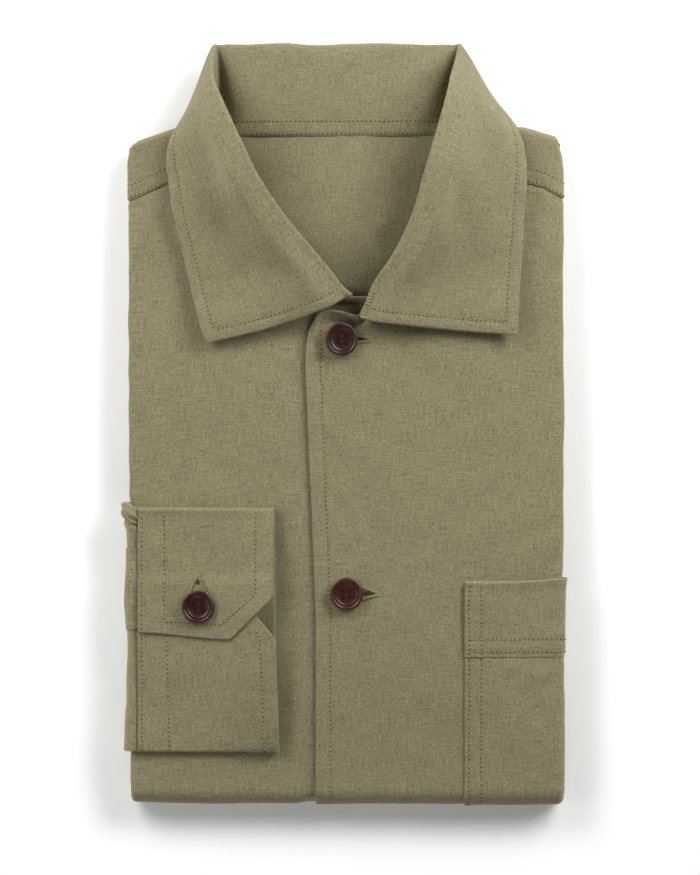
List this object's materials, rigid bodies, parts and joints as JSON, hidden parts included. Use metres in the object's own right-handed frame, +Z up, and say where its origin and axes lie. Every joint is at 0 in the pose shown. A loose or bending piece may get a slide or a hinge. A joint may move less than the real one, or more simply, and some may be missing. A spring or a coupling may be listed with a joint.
{
  "type": "shirt jacket, folded flat",
  "caption": "Khaki cloth shirt jacket folded flat with its front up: open collar, buttoned front, one cuff brought over the left edge, chest pocket turned round the right edge.",
  "frame": {"origin": "middle of the bundle's bounding box, on the surface it lies on", "axes": "+Y along the bundle from the bottom fold to the collar, +Z up out of the front, +X towards the chest pocket"},
  "size_m": [0.2389, 0.4136, 0.0434],
  "materials": {
    "cloth": "matt plain weave",
    "cloth_inside": "matt plain weave",
    "horn": "polished"
  },
  "bodies": {
    "root": {"front_left": "cloth", "front_right": "cloth", "yoke": "cloth", "yoke_lining": "cloth_inside", "collar": "cloth", "sleeve_right": "cloth", "sleeve_placket": "cloth", "cuff_right": "cloth", "chest_pocket": "cloth", "pocket_band": "cloth", "button_front_1": "horn", "button_front_2": "horn", "button_cuff": "horn", "hidden_layers": "cloth_inside"}
  },
  "joints": []
}
